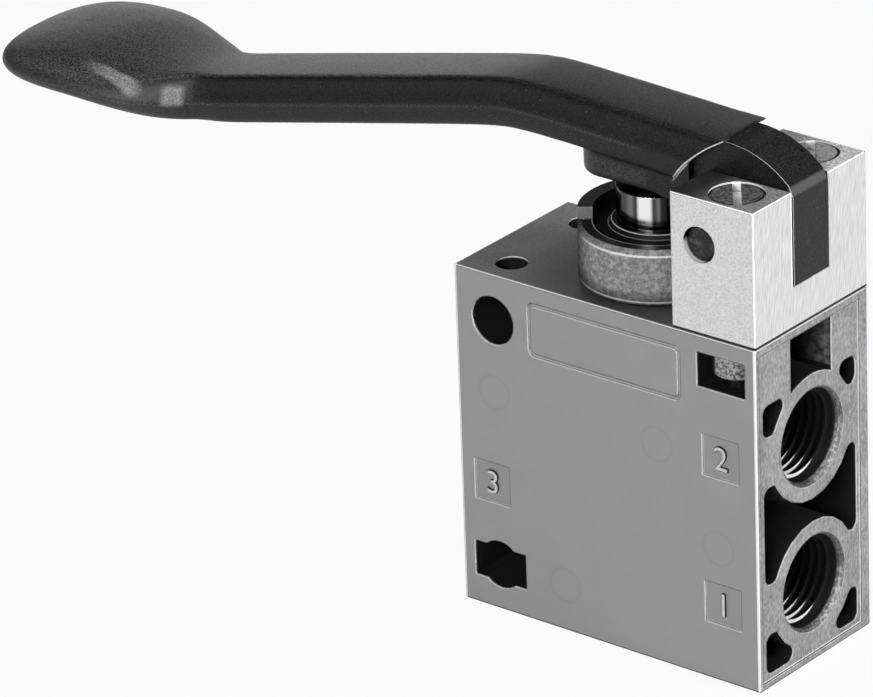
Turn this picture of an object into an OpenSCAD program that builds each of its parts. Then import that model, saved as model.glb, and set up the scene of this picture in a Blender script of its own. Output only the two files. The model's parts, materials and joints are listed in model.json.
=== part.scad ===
// Manual 3/2-way directional valve, poppet type, worked by a finger lever.
// Millimetres. The origin is the middle of the housing's bottom face; +Z points up,
// +X points out of the face with the supply and outlet ports, and the lever reaches to -X.

/* [Housing] */
// Length of the housing, along X
body_l = 50; // [48:0.5:56]
// Thickness of the housing, along Y
body_w = 25; // [24.5:0.1:28]
// Height of the housing
body_h = 50; // [49.5:0.1:53]
// Bevel on the housing's outer edges
body_bevel = 0.25; // [0.1:0.05:0.6]

/* [Ports] */
// Radius of the port bores, the outside radius of the G 1/4 thread
port_r = 6.58; // [6:0.01:6.8]
// Depth of the threaded bores
port_depth = 12; // [10:0.1:12.5]
// Radius of the countersink at a port's mouth
port_mouth_r = 7; // [6.9:0.05:7.6]
// Radius of the round boss around a port
boss_r = 9.1; // [8:0.1:9.4]
// Height of the supply port, number 1
supply_z = 11.4; // [11:0.1:12.4]
// Distance of the outlet port, number 2, from the top face
outlet_drop = 17.1; // [16.6:0.1:17.6]
// Height of the exhaust port, number 3, in the opposite face
exhaust_z = 18.9; // [18:0.1:21]
// Radius of the passage from a port to its chamber
passage_r = 2.9; // [2:0.1:2.95]

/* [Relief pockets] */
// How far the port faces lie below their rim
face_recess = 0.2; // [0.1:0.05:0.5]
// Rim at the front edge of a port face
rim_front = 0.7; // [0.5:0.1:1.4]
// Rim at the back edge of a port face
rim_back = 1.9; // [1.2:0.1:2.4]
// Rim at the top and bottom edges of a port face
rim_end = 1.1; // [0.8:0.1:1.3]
// Wall between the front face and the relief pockets
pocket_front = 1.65; // [1.5:0.05:2.2]
// Wall between the back face and the relief pockets
pocket_back = 2.65; // [2.5:0.05:3]
// Depth of the relief pockets around the bosses
pocket_depth = 9; // [5:0.5:10]
// Corner radius of the relief pockets
pocket_round = 1.2; // [0.5:0.1:1.4]
// Height of the webs that tie a boss to the side walls
web_h = 7.4; // [6:0.1:8.5]
// Width of the slot-like pocket above the outlet boss, at its mouth
top_pocket_w = 9.34; // [8:0.02:9.4]
// Draft of that pocket's side walls, in degrees
top_pocket_draft = 4.5; // [4:0.5:8]
// Wall between that pocket and the small ones beside it
pocket_rib = 1.05; // [0.8:0.05:1.8]
// Height of the small pockets above the outlet web
small_pocket_h = 4.6; // [3.5:0.1:4.9]

/* [Fixing holes] */
// Radius of the cross holes that fix the valve
fix_r = 3.5; // [2.7:0.1:3.6]
// Distance of the fixing holes from the exhaust face
fix_inset_x = 6.4; // [5.6:0.1:7]
// Distance of the fixing holes from the top and bottom faces
fix_inset_z = 6.8; // [6.4:0.1:7]
// Width of the keyway around the lower fixing hole
key_w = 8.8; // [7.6:0.1:9.4]
// Height of that keyway
key_h = 5.2; // [3:0.1:6]
// Depth of that keyway
key_depth = 10; // [4:0.5:11]
// Radius of the attachment holes in the top face
top_hole_r = 2.25; // [1.6:0.05:2.4]
// Distance of the top holes from the front and back faces
top_hole_edge = 4.5; // [4:0.1:5]

/* [Front face] */
// Width of the framed name field, left blank
field_w = 25.4; // [20:0.1:26]
// Height of the name field
field_h = 7.9; // [6:0.1:8.2]
// Distance of the name field's top edge from the top face
field_drop = 2.5; // [2:0.1:4]
// Corner radius of the name field's frame
field_round = 1.1; // [0.8:0.1:2]
// Width of the sunk frame
frame_w = 0.5; // [0.3:0.05:0.8]
// Side of the square fields that carry the port numbers
mark_w = 6; // [5:0.1:6.4]
// Distance of the supply and outlet numbers from the port face
mark_inset = 6; // [5.4:0.1:6.6]
// Distance of the exhaust number from its port face
exhaust_mark_inset = 5.4; // [4.6:0.1:6]
// Depth of these fields and of the frame
mark_depth = 0.35; // [0.15:0.05:0.5]

/* [Guide bonnet] */
// Radius of the bonnet's collar
collar_r = 10.7; // [10:0.1:10.9]
// Height of the collar up to its chamfer
collar_h = 7.3; // [6.8:0.1:7.6]
// Height of the chamfer on the collar
collar_chamfer = 0.8; // [0.4:0.1:1]
// Height of the chamfer at the collar's foot
collar_foot = 0.45; // [0.2:0.05:0.8]
// How far the two key lugs rise above the chamfer
lug_h = 1.8; // [1:0.1:1.9]
// Radial thickness of the lugs
lug_t = 2.1; // [1.5:0.1:2.3]
// Angle that one lug covers
lug_angle = 70; // [40:5:90]
// Radius of the bonnet's threaded shank
shank_r = 9; // [8.8:0.05:9.3]
// Length of that shank in the housing
shank_l = 7; // [6.5:0.1:7.2]

/* [Plunger] */
// Radius of the plunger
plunger_r = 5.5; // [5.2:0.05:5.6]
// Radius of the dome on the plunger's head
dome_r = 22; // [18:1:40]
// Radius of the plunger's stop flange
flange_r = 6.7; // [6.4:0.05:6.8]
// Radius of the hollow exhaust stem below the flange
stem_r = 3.2; // [2.8:0.05:3.3]
// Bore radius of the exhaust stem
stem_bore_r = 1.9; // [1.2:0.1:2.2]
// Travel of the plunger
plunger_travel = 2.7; // [2:0.1:3.2]

/* [Poppet and seat] */
// Height of the seat insert's lower face
seat_z = 21; // [20.4:0.1:21.6]
// Thickness of the seat insert
seat_t = 3.5; // [3:0.1:4]
// Bore radius of the seat
seat_bore_r = 4.3; // [4:0.05:4.5]
// Radius of the poppet's head
poppet_r = 6.2; // [5.8:0.1:7]
// Thickness of the poppet's head
poppet_t = 3.2; // [2.8:0.1:3.6]
// Radius of the poppet's guide stem
guide_r = 2.5; // [1.8:0.1:2.8]
// Travel of the poppet
poppet_travel = 1.6; // [1.2:0.1:2]
// Radius of the bottom plug's thread
plug_r = 9; // [8.8:0.05:9.3]
// Height of the bottom plug
plug_h = 6.2; // [5.6:0.1:6.4]

/* [Springs] */
// Wire diameter of the plunger's spring
plunger_wire = 0.8; // [0.6:0.05:0.9]
// Coils of the plunger's spring
plunger_coils = 3; // [2:0.5:3]
// Wire diameter of the poppet's spring
poppet_wire = 0.7; // [0.5:0.05:0.9]
// Coils of the poppet's spring
poppet_coils = 5; // [3:1:6]

/* [Lever clevis] */
// Gap between the collar and the clevis block
clevis_gap = 0.8; // [0.5:0.1:1.3]
// Height of the clevis block
clevis_h = 19.5; // [19:0.1:20]
// Thickness of the ears on both sides of its slot
ear_t = 8.4; // [8.2:0.05:8.6]
// Height of the slot's floor above the housing
slot_floor = 6; // [5.5:0.1:6.2]
// Distance of the pivot from the middle of the clevis block, towards the collar
pivot_offset = 2.05; // [1.8:0.05:2.2]
// Height of the pivot above the housing
pivot_h = 13; // [12.8:0.1:13.2]
// Radius of the pivot pin
pin_r = 2.5; // [2:0.1:2.6]
// How far the pin's ends lie below the ears
pin_recess = 0.8; // [0:0.1:1.5]

/* [Lever screws] */
// Distance of the screws from the middle of the clevis block, away from the collar
screw_offset = 1.05; // [0.8:0.05:1.3]
// Distance of the screws from the front and back faces
screw_edge = 4.3; // [4.2:0.05:4.35]
// Radius of the screws' thread
screw_r = 2; // [1.8:0.05:2.1]
// Length of the screws under the head
screw_l = 25; // [24.6:0.1:25.2]
// Radius of the cheese heads
head_r = 3.6; // [3.3:0.05:3.75]
// Height of the cheese heads
head_h = 2.6; // [2.2:0.1:2.8]
// Width of the screwdriver slot
slit_w = 1.15; // [0.9:0.05:1.3]
// Angle of the screwdriver slots
slit_angle = 128; // [0:1:180]
// Width across flats of the hexagon nuts
nut_af = 7; // [6.6:0.05:7.05]
// Height of the nuts
nut_h = 3.2; // [2.6:0.1:3.4]
// Width of the slots that hold the nuts
nut_slot_w = 7.84; // [7.76:0.02:8.4]
// Height of these slots
nut_slot_h = 5; // [4:0.1:5.2]

/* [Lever] */
// Play of the lever's tongue on each side of the slot
tongue_play = 0.3; // [0.1:0.05:0.8]
// Half-width of the arm at its parting line
arm_half = 6.05; // [5.6:0.05:6.6]
// Thickness of the arm
arm_t = 7.3; // [6.8:0.05:7.7]
// Depth of the parting line below the arm's top
arm_up = 4; // [3:0.1:4.6]
// Height of the arm's top above the pivot, over the pivot
arm_rise = 11.5; // [11.2:0.05:11.9]
// Height of the tongue's rounded nape above the pivot
nape_rise = 10.95; // [10.4:0.05:11.1]
// Upward slope of the inner arm towards the grip
inner_slope = 0.037; // [0.02:0.005:0.05]
// Downward slope of the outer arm
outer_slope = 0.234; // [0.2:0.005:0.26]
// Distance of the arm's bend from the pivot
bend_at = 36.7; // [35:0.1:39]
// Softness of the bend in the arm's top
bend_soft = 1; // [0.4:0.1:1.6]
// Distance of the grip pad's tip from the pivot
pad_tip = 125.5; // [120:0.1:132]
// Length of the pad's rounded end, from its widest place to the tip
pad_end_l = 15; // [14:0.1:19]
// Length of the pad's waist, from its widest place to the arm
pad_waist_l = 21.4; // [19:0.1:26]
// Half-width of the grip pad
pad_half = 14.4; // [12:0.1:16]
// Height of the pad's crown above its edge
pad_up = 4; // [2.4:0.1:5]
// Depth of the pad's underside below its edge
pad_down = 3; // [2:0.1:5]
// Height of the pad's edge below the pivot
pad_drop = 2.9; // [2:0.1:4]
// Half-width of the presser foot under the arm
foot_half = 4.9; // [4.2:0.1:5.1]
// Distance of the foot's rounded end from the pivot
foot_reach = 27.1; // [25:0.1:27.2]
// Height of the presser foot's face above the pivot
foot_rise = 1.2; // [1:0.1:1.4]

/* [Hidden] */
$fn = 64;

// Clearances: static between seated pieces, running on shafts, tip where two faces almost meet
fit = 0.05;
running = 0.06;
tip_gap = 0.05;
// Overlap of cuts past the face that they open
cut = 1;

half_l = body_l / 2;
half_w = body_w / 2;
outlet_z = body_h - outlet_drop;

// The valve column, from the bottom plug up
plug_z = 0.3;
chamber_r = 8.5;
outlet_chamber_r = 7.2;
exhaust_chamber_r = 8;
seat_top = seat_z + seat_t;
carrier_z = outlet_z + passage_r + 0.1;
carrier_t = 3.2;
carrier_top = carrier_z + carrier_t;
shank_z = body_h - shank_l;
seat_lip = 0.6;
poppet_top = seat_z - seat_lip - tip_gap;
poppet_seat_h = 0.35;
poppet_seal_depth = 1.4;
guide_tip_z = plug_z + plug_h + 1.1;
guide_bore_z = guide_tip_z - poppet_travel - 1.2;
plug_boss_r = guide_r + 1.1;
plug_boss_h = 4.6;
socket_af = 8;
socket_depth = 3;

// The bonnet's bore, from the top down
well_r = collar_r - lug_t;
collar_top = body_h + collar_h + collar_chamfer;
wiper_t = 2.2;
wiper_z = collar_top - wiper_t - 0.2;
bush_t = 1.5;
bush_r = plunger_r + bush_t;
bush_l = 4.6;
bush_z = wiper_z - bush_l;
ring_wire = 2;
ring_groove_z = bush_z - ring_wire - 0.1;
stop_t = 1.3;
stop_z = ring_groove_z - stop_t;
spring_bore_r = flange_r + 0.5;
flange_t = 1.8;
flange_z = stop_z - tip_gap - flange_t;

// Sealing rings: diameters of their cords, and the room at both sides in a groove
bonnet_cord = 1.1;
carrier_cord = 1.26;
stem_cord = 1.6;
seat_cord = 1.2;
plug_cord = 1.26;
groove_room = 0.1;

// The lever's pivot and the plunger's head under its foot
clevis_x = collar_r + clevis_gap;
clevis_l = half_l - clevis_x;
clevis_mid = clevis_x + clevis_l / 2;
slot_w = body_w - 2 * ear_t;
tongue_w = slot_w - 2 * tongue_play;
bush_wall = 0.8;
pivot_x = clevis_mid - pivot_offset;
pivot_inset = half_l - pivot_x;
pivot_z = body_h + pivot_h;
head_z = pivot_z + foot_rise - tip_gap;
stem_end_z = poppet_top + plunger_travel - poppet_travel + tip_gap;
vent_z = flange_z - 2.1;
vent_r = 1.2;

// The lever's screws and their nuts
screw_x = clevis_mid + screw_offset;
screw_y = half_w - screw_edge;
screw_top = body_h + clevis_h - 0.1;
head_bore_r = head_r + 0.2;
head_seat = screw_top - head_h;
shank_hole_r = screw_r + 0.15;
nut_slot_top = body_h - 2.4;
nut_side = nut_af * tan(30);
// The nuts' corners are turned off
nut_corner = nut_af * 0.55;

// Exhaust duct beside the column, and the least wall around a fixing hole
duct_r = 1.9;
duct_x = exhaust_chamber_r + duct_r + 1.3;
fix_wall = 1.2;
// Wall under the lowest pockets, inside the rim
pocket_floor = 0.9;
// Wall above the slot-like pocket, inside the rim
pocket_roof = 0.25;
fix_x = -half_l + fix_inset_x;
top_hole_y = half_w - top_hole_edge;
fix_top_z = body_h - fix_inset_z;

// A box with all twelve edges bevelled
module bevelled_box(l, w, h, b) {
    intersection() {
        translate([0, 0, -cut]) linear_extrude(h + 2 * cut) bevelled_square(l, w, b);
        translate([0, w / 2 + cut, h / 2]) rotate([90, 0, 0])
            linear_extrude(w + 2 * cut) bevelled_square(l, h, b);
        translate([-l / 2 - cut, 0, h / 2]) rotate([90, 0, 90])
            linear_extrude(l + 2 * cut) bevelled_square(w, h, b);
    }
}

module bevelled_square(l, w, b) {
    polygon([
        [-l / 2 + b, -w / 2], [l / 2 - b, -w / 2], [l / 2, -w / 2 + b], [l / 2, w / 2 - b],
        [l / 2 - b, w / 2], [-l / 2 + b, w / 2], [-l / 2, w / 2 - b], [-l / 2, -w / 2 + b]
    ]);
}

// An upright ring of square section, for bushes and carriers
module ring(outer, inner, h) {
    difference() {
        cylinder(h = h, r = outer);
        translate([0, 0, -cut]) cylinder(h = h + 2 * cut, r = inner);
    }
}

// A round sealing ring: mid radius, and diameter of the cord
module o_ring(mid, cord) {
    rotate_extrude() translate([mid, 0]) circle(r = cord / 2, $fn = 32);
}

// The grooves for such a ring around a shaft and in a bore, centred on Z = 0
module shaft_groove(r, cord) {
    translate([0, 0, -cord / 2 - groove_room])
        ring(r + cut, r - cord - 2 * fit, cord + 2 * groove_room);
}

module bore_groove(r, cord) {
    translate([0, 0, -cord / 2 - groove_room])
        cylinder(h = cord + 2 * groove_room, r = r + running + cord + fit);
}

// Outline helpers for a port face, drawn with Y to the right and Z up
module between(y0, y1, z0, z1) {
    translate([y0, z0]) square([y1 - y0, z1 - z0]);
}

module rounded_pocket() {
    offset(r = pocket_round, $fn = 24) offset(delta = -pocket_round) children();
}

// The pockets above, between and below the bosses of one face
module pocket_outline(bosses, slot_above) {
    y0 = -half_w + pocket_front;
    y1 = half_w - pocket_back;
    top_boss = bosses[len(bosses) - 1];
    // Beside the fixing holes the pockets keep a wall around each hole
    z0 = slot_above ? rim_end + pocket_floor : fix_inset_z + fix_r + fix_wall;
    top_end = slot_above ? top_boss + web_h / 2 + small_pocket_h : fix_top_z - fix_r - fix_wall;
    rounded_pocket() difference() {
        union() {
            between(y0, y1, z0, bosses[0] - web_h / 2);
            for (i = [1 : 1 : len(bosses) - 1])
                between(y0, y1, bosses[i - 1] + web_h / 2, bosses[i] - web_h / 2);
            between(y0, y1, top_boss + web_h / 2, top_end);
        }
        for (z = bosses) translate([0, z]) circle(r = boss_r);
        if (slot_above) {
            half_slot = top_pocket_w / 2 + pocket_rib;
            between(-half_slot, half_slot, top_boss, body_h);
        }
    }
}

// The pocket above the outlet boss narrows inwards, to leave a wall beside the nut slots
module top_pocket() {
    mouth = top_pocket_w / 2;
    deep = mouth - (pocket_depth + face_recess + cut) * tan(top_pocket_draft);
    deep_x = half_l - face_recess - pocket_depth;
    difference() {
        translate([0, 0, outlet_z]) linear_extrude(outlet_drop - rim_end - pocket_roof) polygon([
            [deep_x, -deep], [half_l + cut, -mouth], [half_l + cut, mouth], [deep_x, deep]
        ]);
        translate([0, 0, outlet_z]) rotate([0, 90, 0]) cylinder(h = body_l, r = boss_r);
    }
}

// Everything cut out of one port face, which faces +X here. The passages end at the given
// distance from the middle.
module port_face_cuts(bosses, slot_above, passage_end) {
    translate([half_l - face_recess, 0, 0]) rotate([90, 0, 90]) {
        linear_extrude(face_recess + cut)
            between(-half_w + rim_front, half_w - rim_back, rim_end, body_h - rim_end);
        translate([0, 0, -pocket_depth])
            linear_extrude(pocket_depth + cut) pocket_outline(bosses, slot_above);
    }
    if (slot_above) top_pocket();
    for (z = bosses) translate([half_l - face_recess, 0, z]) rotate([0, -90, 0]) {
        translate([0, 0, -cut]) cylinder(h = port_depth + cut, r = port_r);
        translate([0, 0, -cut])
            cylinder(h = cut + port_mouth_r - port_r, r1 = port_mouth_r + cut, r2 = port_r);
        cylinder(h = half_l - face_recess - passage_end, r = passage_r);
    }
}

// The bore of the valve column, stepped for the pieces that it holds
module column_bore() {
    translate([0, 0, -cut]) cylinder(h = cut + plug_z + plug_h, r = plug_r + fit);
    cylinder(h = seat_top, r = chamber_r);
    translate([0, 0, seat_z]) cylinder(h = carrier_z - seat_z, r = outlet_chamber_r);
    translate([0, 0, carrier_z]) cylinder(h = body_h - carrier_z, r = exhaust_chamber_r);
    translate([0, 0, shank_z]) cylinder(h = shank_l + cut, r = shank_r + fit);
    translate([0, 0, body_h - bonnet_cord - 3 * groove_room])
        cylinder(h = body_h, r = shank_r + bonnet_cord + groove_room);
}

// The cast duct that leads the exhaust down from the top chamber to its port
module exhaust_duct() {
    translate([-duct_x, 0, exhaust_z]) cylinder(h = carrier_top + duct_r - exhaust_z, r = duct_r);
    translate([-duct_x, -duct_r, carrier_top]) cube([duct_x, 2 * duct_r, duct_r]);
}

// A slot for a nut: open at the flat face, and shaped to the nut at its inner end
module nut_slot() {
    inner = -nut_af / 2 - fit;
    w = nut_slot_w / 2;
    s = nut_side / 2 + fit;
    translate([0, 0, nut_slot_top - nut_slot_h]) linear_extrude(nut_slot_h) polygon([
        [-w, screw_edge + cut], [-w, inner + (w - s) * tan(60)], [-s, inner],
        [s, inner], [w, inner + (w - s) * tan(60)], [w, screw_edge + cut]
    ]);
}

// The name field's frame: a groove with rounded corners; the field itself is blank
module name_frame() {
    translate([0, -half_w + mark_depth, body_h - field_drop - field_h / 2]) rotate([90, 0, 0])
        linear_extrude(mark_depth + cut) difference() {
            rounded_field(field_w, field_h, field_round);
            rounded_field(field_w - 2 * frame_w, field_h - 2 * frame_w, field_round - frame_w);
        }
}

module rounded_field(w, h, r) {
    square([w - 2 * r, h], center = true);
    square([w, h - 2 * r], center = true);
    for (x = [-1, 1], z = [-1, 1]) translate([x * (w / 2 - r), z * (h / 2 - r)]) circle(r = r);
}

// The square field of one port number, given by its middle
module number_field(x, z) {
    translate([x - mark_w / 2, -half_w - cut, z - mark_w / 2]) cube([mark_w, cut + mark_depth, mark_w]);
}

module valve_body() {
    color([0.55, 0.56, 0.57]) difference() {
        bevelled_box(body_l, body_w, body_h, body_bevel);
        port_face_cuts([supply_z, outlet_z], true, 0);
        mirror([1, 0, 0]) port_face_cuts([exhaust_z], false, duct_x);
        column_bore();
        exhaust_duct();
        // Cross holes that fix the valve, and the keyway of the lower one
        for (z = [fix_inset_z, fix_top_z]) translate([fix_x, half_w + cut, z]) rotate([90, 0, 0])
            cylinder(h = body_w + 2 * cut, r = fix_r);
        translate([fix_x - key_w / 2, -half_w - cut, fix_inset_z - key_h / 2])
            cube([key_w, cut + key_depth, key_h]);
        // Attachment holes in the top face
        for (side = [-1, 1]) translate([fix_x, side * top_hole_y, fix_top_z])
            cylinder(h = fix_inset_z + cut, r = top_hole_r);
        // Screw holes and nut slots of the lever's clevis
        for (side = [-1, 1]) {
            translate([screw_x, side * screw_y, head_seat - screw_l - 0.1])
                cylinder(h = body_h, r = shank_hole_r);
            translate([screw_x, side * screw_y, 0]) rotate([0, 0, side > 0 ? 0 : 180]) nut_slot();
        }
        name_frame();
        for (z = [supply_z, outlet_z]) number_field(half_l - mark_inset, z);
        number_field(-half_l + exhaust_mark_inset, exhaust_z);
    }
}

// One key lug of the bonnet, centred on the +X axis
module lug() {
    intersection() {
        ring(collar_r, well_r, lug_h);
        rotate([0, 0, -lug_angle / 2])
            rotate_extrude(angle = lug_angle) translate([cut, -cut]) square([collar_r, lug_h + 2 * cut]);
    }
}

module guide_bonnet() {
    color([0.6, 0.58, 0.55]) difference() {
        union() {
            translate([0, 0, shank_z]) cylinder(h = shank_l + cut, r = shank_r);
            translate([0, 0, body_h]) cylinder(h = collar_foot, r1 = collar_r - collar_foot, r2 = collar_r);
            translate([0, 0, body_h + collar_foot]) cylinder(h = collar_h - collar_foot, r = collar_r);
            translate([0, 0, body_h + collar_h])
                cylinder(h = collar_chamfer, r1 = collar_r, r2 = collar_r - collar_chamfer * 0.75);
            for (a = [0, 180]) rotate([0, 0, a]) {
                translate([0, 0, collar_top]) lug();
                translate([0, 0, collar_top - collar_chamfer]) lug();
            }
        }
        translate([0, 0, wiper_z]) cylinder(h = body_h, r = well_r);
        translate([0, 0, bush_z]) cylinder(h = bush_l + cut, r = bush_r + fit);
        translate([0, 0, ring_groove_z]) cylinder(h = ring_wire + cut, r = plunger_r + ring_wire + 0.1);
        translate([0, 0, stop_z - cut]) cylinder(h = body_h, r = plunger_r + running);
        translate([0, 0, shank_z - cut]) cylinder(h = stop_z - shank_z + cut, r = spring_bore_r);
    }
}

module guide_bush() {
    color([0.72, 0.55, 0.3]) translate([0, 0, bush_z])
        ring(bush_r, plunger_r + running, bush_l - fit);
}

// The wiper lies in the bonnet's well; its lip stands up around the plunger
module wiper_seal() {
    lip_r = plunger_r + running;
    lip_t = 0.6;
    lip_rise = 0.6;
    color([0.08, 0.08, 0.08]) translate([0, 0, wiper_z]) rotate_extrude() polygon([
        [lip_r + 0.4, fit], [well_r - fit, fit], [well_r - fit, wiper_t - 0.3], [lip_r + 1, wiper_t],
        [lip_r + lip_t, wiper_t + lip_rise], [lip_r, wiper_t + lip_rise], [lip_r, wiper_t - lip_rise]
    ]);
}

module plunger_o_ring() {
    color([0.1, 0.1, 0.1]) translate([0, 0, ring_groove_z + ring_wire / 2 + 0.05])
        o_ring(plunger_r + running + ring_wire / 2, ring_wire);
}

module bonnet_o_ring() {
    color([0.1, 0.1, 0.1]) translate([0, 0, body_h - bonnet_cord / 2 - 1.5 * groove_room])
        o_ring(shank_r + fit + bonnet_cord / 2, bonnet_cord);
}

module seal_carrier() {
    color([0.75, 0.62, 0.35]) translate([0, 0, carrier_z]) difference() {
        ring(exhaust_chamber_r - fit, stem_r + running, carrier_t);
        translate([0, 0, carrier_t / 2]) {
            bore_groove(stem_r, stem_cord);
            shaft_groove(exhaust_chamber_r - fit, carrier_cord);
        }
    }
}

module carrier_o_ring() {
    color([0.1, 0.1, 0.1]) translate([0, 0, carrier_z + carrier_t / 2])
        o_ring(exhaust_chamber_r - fit - carrier_cord / 2, carrier_cord);
}

module stem_o_ring() {
    color([0.1, 0.1, 0.1]) translate([0, 0, carrier_z + carrier_t / 2])
        o_ring(stem_r + running + stem_cord / 2, stem_cord);
}

// The seat insert: a pressed-in ring with a narrow sealing lip below
module seat_insert() {
    lip_w = 0.8;
    color([0.78, 0.66, 0.38]) difference() {
        union() {
            translate([0, 0, seat_z]) cylinder(h = seat_t, r = chamber_r - fit);
            translate([0, 0, seat_z - seat_lip])
                cylinder(h = seat_lip + 0.1, r1 = seat_bore_r + lip_w / 2, r2 = seat_bore_r + lip_w * 1.5);
        }
        translate([0, 0, seat_z - cut]) cylinder(h = seat_t + 2 * cut, r = seat_bore_r);
        translate([0, 0, seat_z + seat_t / 2]) shaft_groove(chamber_r - fit, seat_cord);
    }
}

module seat_o_ring() {
    color([0.1, 0.1, 0.1]) translate([0, 0, seat_z + seat_t / 2])
        o_ring(chamber_r - fit - seat_cord / 2, seat_cord);
}

module bottom_plug() {
    color([0.62, 0.62, 0.6]) translate([0, 0, plug_z]) difference() {
        union() {
            cylinder(h = plug_h, r = plug_r);
            cylinder(h = plug_h + plug_boss_h, r = plug_boss_r);
        }
        translate([0, 0, guide_bore_z - plug_z]) cylinder(h = body_h, r = guide_r + running);
        translate([0, 0, -cut])
            cylinder(h = socket_depth + cut, r = socket_af / 2 / cos(30), $fn = 6);
        translate([0, 0, plug_h - plug_cord]) shaft_groove(plug_r, plug_cord);
    }
}

module plug_o_ring() {
    color([0.1, 0.1, 0.1]) translate([0, 0, plug_z + plug_h - plug_cord])
        o_ring(plug_r - plug_cord / 2, plug_cord);
}

module poppet() {
    head_z0 = poppet_top - poppet_seat_h - poppet_t;
    color([0.75, 0.75, 0.72]) difference() {
        union() {
            translate([0, 0, head_z0]) cylinder(h = poppet_t, r = poppet_r);
            translate([0, 0, guide_tip_z]) cylinder(h = head_z0 - guide_tip_z + 0.1, r = guide_r);
        }
        translate([0, 0, head_z0 + poppet_t - poppet_seal_depth])
            cylinder(h = poppet_seal_depth + cut, r = poppet_r - 0.8);
    }
}

// The sealing disc, held in the poppet's head and standing a little proud
module poppet_seal() {
    color([0.12, 0.1, 0.1]) translate([0, 0, poppet_top - poppet_seat_h - poppet_seal_depth])
        cylinder(h = poppet_seal_depth + poppet_seat_h, r = poppet_r - 0.8 - fit);
}

// One point of a coil, and a coil spring with flat ends swept along it
function coil_point(turn, r, h) = [r * cos(360 * turn), r * sin(360 * turn), h];

module coil_spring(mid, wire, length, coils) {
    sides = 8;
    per_turn = 18;
    dead = 0.75;
    turns = coils + 2 * dead;
    steps = round(turns * per_turn);
    free = length - wire * 1.04;
    rise = function(t) t < dead ? 0 : t > turns - dead ? free : free * (t - dead) / coils;
    points = [
        for (i = [0 : steps], j = [0 : sides - 1])
            let (t = i * turns / steps, a = 360 * j / sides)
            coil_point(t, mid + wire / 2 * cos(a), wire * 0.52 + rise(t) + wire / 2 * sin(a))
    ];
    faces = concat(
        [[for (j = [0 : sides - 1]) j]],
        [for (i = [0 : steps - 1], j = [0 : sides - 1])
            let (k = (j + 1) % sides)
            [i * sides + j, (i + 1) * sides + j, (i + 1) * sides + k, i * sides + k]],
        [[for (j = [sides - 1 : -1 : 0]) steps * sides + j]]
    );
    polyhedron(points, faces, convexity = 8);
}

module poppet_spring() {
    z0 = plug_z + plug_h + fit;
    z1 = poppet_top - poppet_seat_h - poppet_t - fit;
    color([0.8, 0.8, 0.82]) translate([0, 0, z0])
        coil_spring(plug_boss_r + 0.5 + poppet_wire / 2, poppet_wire, z1 - z0, poppet_coils);
}

module plunger_spring() {
    z0 = carrier_top + fit;
    z1 = flange_z - fit;
    color([0.8, 0.8, 0.82]) translate([0, 0, z0])
        coil_spring(flange_r - 0.4 - plunger_wire / 2, plunger_wire, z1 - z0, plunger_coils);
}

// The plunger: a domed head that the lever presses, a stop flange and a hollow exhaust stem
module plunger() {
    color([0.85, 0.86, 0.88]) difference() {
        union() {
            intersection() {
                translate([0, 0, flange_z]) cylinder(h = head_z - flange_z + cut, r = plunger_r);
                translate([0, 0, head_z - dome_r]) sphere(r = dome_r, $fn = 96);
            }
            translate([0, 0, flange_z]) cylinder(h = flange_t, r = flange_r);
            translate([0, 0, stem_end_z]) cylinder(h = flange_z - stem_end_z + 0.1, r = stem_r);
        }
        translate([0, 0, stem_end_z - cut]) cylinder(h = vent_z - stem_end_z + vent_r + cut, r = stem_bore_r);
        for (a = [0, 90]) translate([0, 0, vent_z]) rotate([90, 0, a])
            cylinder(h = 4 * stem_r, r = vent_r, center = true, $fn = 32);
    }
}

// The clevis: a milled block with a through slot for the lever's tongue
module clevis_block() {
    slot_z = body_h + slot_floor;
    color([0.85, 0.86, 0.87]) difference() {
        translate([clevis_x + clevis_l / 2, 0, body_h])
            bevelled_box(clevis_l, body_w, clevis_h, 0.2);
        translate([clevis_x - cut, -slot_w / 2, slot_z])
            cube([clevis_l + 2 * cut, slot_w, clevis_h]);
        translate([pivot_x, half_w + cut, pivot_z]) rotate([90, 0, 0])
            cylinder(h = body_w + 2 * cut, r = pin_r + fit);
        for (side = [-1, 1]) translate([screw_x, side * screw_y, 0]) {
            translate([0, 0, body_h - cut]) cylinder(h = clevis_h, r = shank_hole_r);
            translate([0, 0, head_seat]) cylinder(h = clevis_h, r = head_bore_r);
        }
    }
}

// Slotted cheese-head screw, standing on its tip's plane
module cheese_head_screw() {
    chamfer = 0.3;
    slit_depth = head_h * 0.45;
    difference() {
        union() {
            cylinder(h = screw_l + 0.1, r = screw_r);
            translate([0, 0, screw_l]) cylinder(h = head_h - chamfer, r = head_r);
            translate([0, 0, screw_l + head_h - chamfer])
                cylinder(h = chamfer, r1 = head_r, r2 = head_r - 0.25);
        }
        translate([0, 0, screw_l + head_h]) rotate([0, 0, slit_angle])
            cube([3 * head_r, slit_w, 2 * slit_depth], center = true);
    }
}

module clevis_screws() {
    color([0.8, 0.81, 0.83]) for (side = [-1, 1])
        translate([screw_x, side * screw_y, head_seat - screw_l]) cheese_head_screw();
}

module clamp_nuts() {
    color([0.7, 0.7, 0.68]) for (side = [-1, 1])
        translate([screw_x, side * screw_y, nut_slot_top - nut_h - fit]) difference() {
            intersection() {
                cylinder(h = nut_h, r = nut_side, $fn = 6);
                cylinder(h = nut_h, r = nut_corner);
                // The corners are chamfered at both faces
                translate([0, 0, -nut_af])
                    cylinder(h = nut_h + nut_af, r1 = nut_af * 2, r2 = nut_af / 2 * 0.99);
                cylinder(h = nut_h + nut_af, r1 = nut_af / 2 * 0.99, r2 = nut_af * 2);
            }
            translate([0, 0, -cut]) cylinder(h = nut_h + 2 * cut, r = screw_r + fit);
        }
}

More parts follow.
